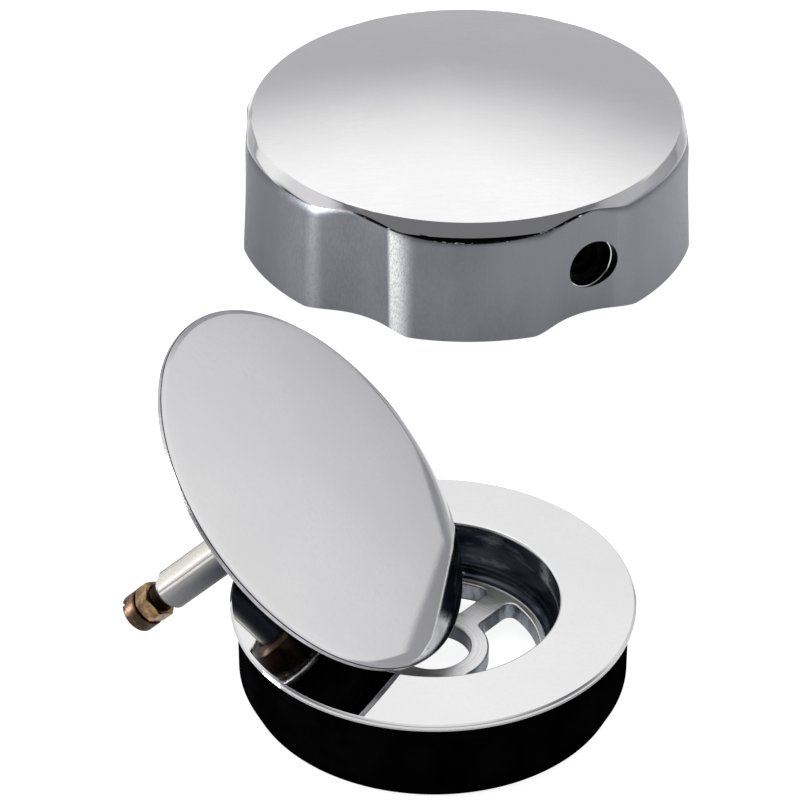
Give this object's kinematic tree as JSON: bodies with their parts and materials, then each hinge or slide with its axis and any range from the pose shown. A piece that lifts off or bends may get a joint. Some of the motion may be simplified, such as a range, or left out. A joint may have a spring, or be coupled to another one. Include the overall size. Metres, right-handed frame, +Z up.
{
  "type": "bath drain trim set",
  "caption": "Chromed bath drain trim: a round waste flange with spoked crosshead on a rubber gasket, its stemmed pop-up plug leaning in the bore, and a scalloped overflow knob.",
  "frame": {"origin": "on the floor, under the middle of the whole set's box", "axes": "+Z up; the front of the set, with the flange nearest the viewer, is towards -Y; the plug's stem leans towards -X; the knob stands towards +Y"},
  "size_m": [0.1044, 0.2304, 0.0602],
  "materials": {
    "waste_flange": "polished chrome plate, satin on the turned crosshead",
    "rubber_gasket": "matt black moulded rubber",
    "plug_disc": "polished chrome plate",
    "plug_seal": "matt black moulded rubber",
    "seal_washer": "plain bright steel",
    "stem_collar": "turned brass, darkened with age",
    "plug_stem": "satin plated, drawn along its length",
    "lock_nut": "bare brass, slightly tarnished",
    "adjusting_screw": "turned brass, darkened with age",
    "knob_shell": "polished chrome plate, satin grain on the side walls",
    "knob_hub": "grey as-cast metal",
    "grub_screw": "blackened steel"
  },
  "bodies": {
    "drain": {"waste_flange": "waste_flange", "rubber_gasket": "rubber_gasket"},
    "plug": {"plug_disc": "plug_disc", "plug_seal": "plug_seal", "seal_washer": "seal_washer", "stem_collar": "stem_collar", "plug_stem": "plug_stem"},
    "lock_nut": {"lock_nut": "lock_nut"},
    "adjusting_screw": {"adjusting_screw": "adjusting_screw"},
    "knob": {"knob_shell": "knob_shell", "knob_hub": "knob_hub"},
    "grub_screw": {"grub_screw": "grub_screw"}
  },
  "joints": [
    {"name": "plug_lift", "type": "slide", "parent": "drain", "child": "plug", "axis": [0, 0, 1], "range_m": [0, 0.06]},
    {"name": "adjust_travel", "type": "slide", "parent": "plug", "child": "lock_nut", "axis": [0.6914, -0.1482, 0.7071], "range_m": [-0.0016, 0.0016]},
    {"name": "adjust_turn", "type": "hinge", "parent": "lock_nut", "child": "adjusting_screw", "pos_m": [-0.04732, -0.07084, 0.00677], "axis": [0.6914, -0.1482, 0.7071], "range_deg": [-722, 722]},
    {"name": "knob_turn", "type": "hinge", "parent": "drain", "child": "knob", "pos_m": [0.00698, 0.06851, 0], "axis": [0, 0, 1], "range_deg": [0, 90]},
    {"name": "grub_turn", "type": "hinge", "parent": "knob", "child": "grub_screw", "pos_m": [0.02636, 0.04032, 0.0113], "axis": [0.5664, -0.8241, 0], "range_deg": [-360, 360]}
  ],
  "couplings": [
    {"joint": "adjust_turn", "follows": "adjust_travel", "rad_per_m": 7854}
  ]
}
